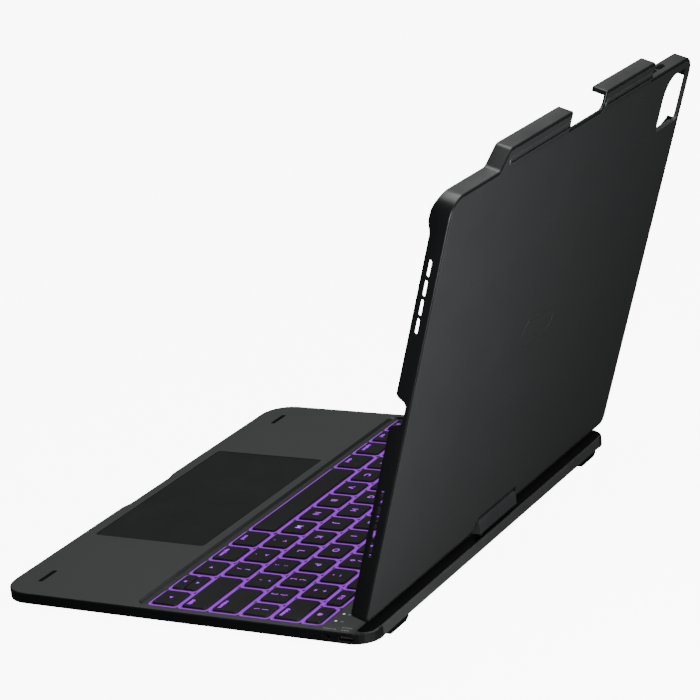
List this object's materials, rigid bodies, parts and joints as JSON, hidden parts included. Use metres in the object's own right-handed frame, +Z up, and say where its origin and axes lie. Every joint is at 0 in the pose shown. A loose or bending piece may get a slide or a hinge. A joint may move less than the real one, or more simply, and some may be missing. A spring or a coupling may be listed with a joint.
{
  "type": "tablet keyboard case",
  "caption": "Laptop-style keyboard case: backlit keyboard base with trackpad and a framed tablet shell on a hinge that tilts and swivels.",
  "frame": {"origin": "centre of the underside of the base shell; the feet reach 2.4 mm below it", "axes": "+X towards the typist's right, +Y from the front edge to the hinge, +Z up from the table"},
  "size_m": [0.2863, 0.2905, 0.2365],
  "materials": {
    "shell": "satin fine-grain black-grey plastic",
    "frame": "satin black plastic",
    "keycap": "matte black keycaps with light-transmitting legends",
    "trackpad": "smooth matte film",
    "rubber": "matte black rubber",
    "steel": "brushed",
    "circuit": "solder-masked board",
    "battery": "foil pouch",
    "light_guide": "translucent light guide, lit violet",
    "lining": "microfibre lining"
  },
  "bodies": {
    "base": {"top_case": "shell", "bottom_cover": "shell", "key_plate": "shell", "light_guide": "light_guide", "keyboard_circuit": "circuit", "battery_left": "battery", "battery_right": "battery", "main_board": "circuit", "usb_c_socket": "steel", "trackpad_board": "circuit", "indicator_lens": "light_guide", "bumper_left": "rubber", "bumper_right": "rubber", "foot_front_left": "rubber", "foot_front_right": "rubber", "foot_rear_left": "rubber", "foot_rear_right": "rubber", "rear_trim_left": "shell", "rear_trim_right": "shell", "rear_strip_left": "rubber", "rear_strip_right": "rubber", "swivel_bush": "steel"},
    "hinge_head": {"hinge_block_left": "shell", "hinge_block_right": "shell", "swivel_post": "steel"},
    "lid": {"lid_frame": "frame", "lid_back_panel": "shell", "lining_sheet": "lining", "tilt_shaft": "steel", "hinge_leaf_left": "steel", "hinge_leaf_right": "steel"},
    "key_lock": {"key_lock": "keycap"},
    "key_backspace": {"key_backspace": "keycap"},
    "key_backslash": {"key_backslash": "keycap"},
    "key_tab": {"key_tab": "keycap"},
    "key_return": {"key_return": "keycap"},
    "key_caps_lock": {"key_caps_lock": "keycap"},
    "key_shift_right": {"key_shift_right": "keycap"},
    "key_shift_left": {"key_shift_left": "keycap"},
    "key_arrow_right": {"key_arrow_right": "keycap"},
    "key_arrow_up": {"key_arrow_up": "keycap"},
    "key_arrow_down": {"key_arrow_down": "keycap"},
    "key_arrow_left": {"key_arrow_left": "keycap"},
    "key_option_right": {"key_option_right": "keycap"},
    "key_command_right": {"key_command_right": "keycap"},
    "key_space": {"key_space": "keycap"},
    "key_command_left": {"key_command_left": "keycap"},
    "key_option_left": {"key_option_left": "keycap"},
    "key_control": {"key_control": "keycap"},
    "key_globe": {"key_globe": "keycap"},
    "bank_function": {"bank_function": "keycap"},
    "bank_number": {"bank_number": "keycap"},
    "bank_upper": {"bank_upper": "keycap"},
    "bank_home": {"bank_home": "keycap"},
    "bank_lower": {"bank_lower": "keycap"},
    "trackpad": {"trackpad": "trackpad"},
    "power_switch": {"power_switch": "frame"},
    "volume_up_button": {"volume_up_button": "rubber"},
    "volume_down_button": {"volume_down_button": "rubber"}
  },
  "joints": [
    {"name": "swivel", "type": "hinge", "parent": "base", "child": "hinge_head", "pos_m": [0, 0.1051, 0.0087], "axis": [0, 0, 1], "range_deg": [-180, 180]},
    {"name": "lid_tilt", "type": "hinge", "parent": "hinge_head", "child": "lid", "pos_m": [0, 0.1063, 0.0135], "axis": [-1, 0, 0], "range_deg": [-108.4, 71.5]},
    {"name": "key_lock_press", "type": "slide", "parent": "base", "child": "key_lock", "axis": [0, 0, -1], "range_m": [0, 0.001], "stiffness_N_per_m": 600},
    {"name": "key_backspace_press", "type": "slide", "parent": "base", "child": "key_backspace", "axis": [0, 0, -1], "range_m": [0, 0.001], "stiffness_N_per_m": 600},
    {"name": "key_backslash_press", "type": "slide", "parent": "base", "child": "key_backslash", "axis": [0, 0, -1], "range_m": [0, 0.001], "stiffness_N_per_m": 600},
    {"name": "key_tab_press", "type": "slide", "parent": "base", "child": "key_tab", "axis": [0, 0, -1], "range_m": [0, 0.001], "stiffness_N_per_m": 600},
    {"name": "key_return_press", "type": "slide", "parent": "base", "child": "key_return", "axis": [0, 0, -1], "range_m": [0, 0.001], "stiffness_N_per_m": 600},
    {"name": "key_caps_lock_press", "type": "slide", "parent": "base", "child": "key_caps_lock", "axis": [0, 0, -1], "range_m": [0, 0.001], "stiffness_N_per_m": 600},
    {"name": "key_shift_right_press", "type": "slide", "parent": "base", "child": "key_shift_right", "axis": [0, 0, -1], "range_m": [0, 0.001], "stiffness_N_per_m": 600},
    {"name": "key_shift_left_press", "type": "slide", "parent": "base", "child": "key_shift_left", "axis": [0, 0, -1], "range_m": [0, 0.001], "stiffness_N_per_m": 600},
    {"name": "key_arrow_right_press", "type": "slide", "parent": "base", "child": "key_arrow_right", "axis": [0, 0, -1], "range_m": [0, 0.001], "stiffness_N_per_m": 600},
    {"name": "key_arrow_up_press", "type": "slide", "parent": "base", "child": "key_arrow_up", "axis": [0, 0, -1], "range_m": [0, 0.001], "stiffness_N_per_m": 600},
    {"name": "key_arrow_down_press", "type": "slide", "parent": "base", "child": "key_arrow_down", "axis": [0, 0, -1], "range_m": [0, 0.001], "stiffness_N_per_m": 600},
    {"name": "key_arrow_left_press", "type": "slide", "parent": "base", "child": "key_arrow_left", "axis": [0, 0, -1], "range_m": [0, 0.001], "stiffness_N_per_m": 600},
    {"name": "key_option_right_press", "type": "slide", "parent": "base", "child": "key_option_right", "axis": [0, 0, -1], "range_m": [0, 0.001], "stiffness_N_per_m": 600},
    {"name": "key_command_right_press", "type": "slide", "parent": "base", "child": "key_command_right", "axis": [0, 0, -1], "range_m": [0, 0.001], "stiffness_N_per_m": 600},
    {"name": "key_space_press", "type": "slide", "parent": "base", "child": "key_space", "axis": [0, 0, -1], "range_m": [0, 0.001], "stiffness_N_per_m": 600},
    {"name": "key_command_left_press", "type": "slide", "parent": "base", "child": "key_command_left", "axis": [0, 0, -1], "range_m": [0, 0.001], "stiffness_N_per_m": 600},
    {"name": "key_option_left_press", "type": "slide", "parent": "base", "child": "key_option_left", "axis": [0, 0, -1], "range_m": [0, 0.001], "stiffness_N_per_m": 600},
    {"name": "key_control_press", "type": "slide", "parent": "base", "child": "key_control", "axis": [0, 0, -1], "range_m": [0, 0.001], "stiffness_N_per_m": 600},
    {"name": "key_globe_press", "type": "slide", "parent": "base", "child": "key_globe", "axis": [0, 0, -1], "range_m": [0, 0.001], "stiffness_N_per_m": 600},
    {"name": "bank_function_press", "type": "slide", "parent": "base", "child": "bank_function", "axis": [0, 0, -1], "range_m": [0, 0.001], "stiffness_N_per_m": 6000},
    {"name": "bank_number_press", "type": "slide", "parent": "base", "child": "bank_number", "axis": [0, 0, -1], "range_m": [0, 0.001], "stiffness_N_per_m": 6000},
    {"name": "bank_upper_press", "type": "slide", "parent": "base", "child": "bank_upper", "axis": [0, 0, -1], "range_m": [0, 0.001], "stiffness_N_per_m": 6000},
    {"name": "bank_home_press", "type": "slide", "parent": "base", "child": "bank_home", "axis": [0, 0, -1], "range_m": [0, 0.001], "stiffness_N_per_m": 6000},
    {"name": "bank_lower_press", "type": "slide", "parent": "base", "child": "bank_lower", "axis": [0, 0, -1], "range_m": [0, 0.001], "stiffness_N_per_m": 6000},
    {"name": "trackpad_click", "type": "slide", "parent": "base", "child": "trackpad", "axis": [0, 0, -1], "range_m": [0, 0.0003], "stiffness_N_per_m": 8000},
    {"name": "power_switch_slide", "type": "slide", "parent": "base", "child": "power_switch", "axis": [0, 1, 0], "range_m": [0, 0.002]},
    {"name": "volume_up_press", "type": "slide", "parent": "lid", "child": "volume_up_button", "axis": [0, -0.3161, -0.9487], "range_m": [0, 0.0004], "stiffness_N_per_m": 1500},
    {"name": "volume_down_press", "type": "slide", "parent": "lid", "child": "volume_down_button", "axis": [0, -0.3161, -0.9487], "range_m": [0, 0.0004], "stiffness_N_per_m": 1500}
  ]
}
